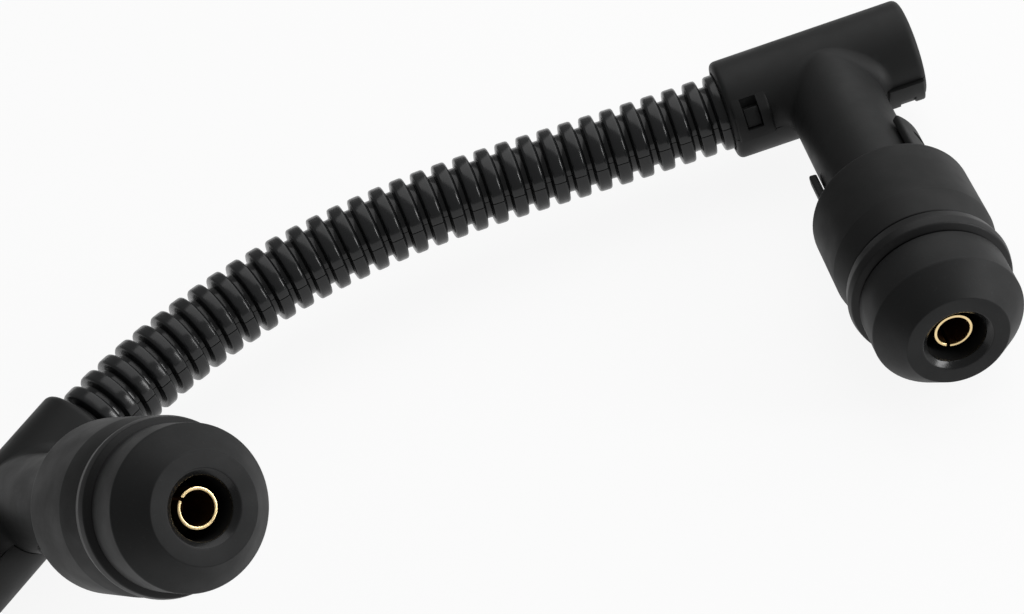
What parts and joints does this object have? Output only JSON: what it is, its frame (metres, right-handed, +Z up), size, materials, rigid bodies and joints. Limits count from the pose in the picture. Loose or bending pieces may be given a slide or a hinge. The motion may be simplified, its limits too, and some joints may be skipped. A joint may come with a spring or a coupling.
{
  "type": "glow plug harness",
  "caption": "Glow plug harness section: right-angle push-on plug heads joined by a slit corrugated loom.",
  "frame": {"origin": "bottom centre of the bounding box, with the harness lying at rest on z = 0", "axes": "+X from the left head to the right head, +Y away from the noses towards the loom, +Z up"},
  "size_m": [0.1825, 0.0941, 0.0511],
  "materials": {
    "black_plastic": "satin",
    "nose_plastic": "matte",
    "conduit_plastic": "semi_gloss",
    "seal_rubber": "satin",
    "grommet_silicone": "satin",
    "brass": "polished",
    "wire_insulation": "satin",
    "shrink_sleeve": "satin"
  },
  "bodies": {
    "root": {"left_housing": "black_plastic", "left_cover": "black_plastic", "left_shell": "black_plastic", "left_seal_ring": "seal_rubber", "left_nose": "nose_plastic", "left_terminal": "brass", "left_wire_seal": "grommet_silicone", "left_lead": "wire_insulation", "left_splice": "shrink_sleeve", "right_housing": "black_plastic", "right_cover": "black_plastic", "right_shell": "black_plastic", "right_seal_ring": "seal_rubber", "right_nose": "nose_plastic", "right_terminal": "brass", "right_wire_seal": "grommet_silicone", "right_lead": "wire_insulation", "right_splice": "shrink_sleeve", "right_end_plug": "black_plastic", "conduit": "conduit_plastic", "trunk_wire": "wire_insulation"}
  },
  "joints": []
}
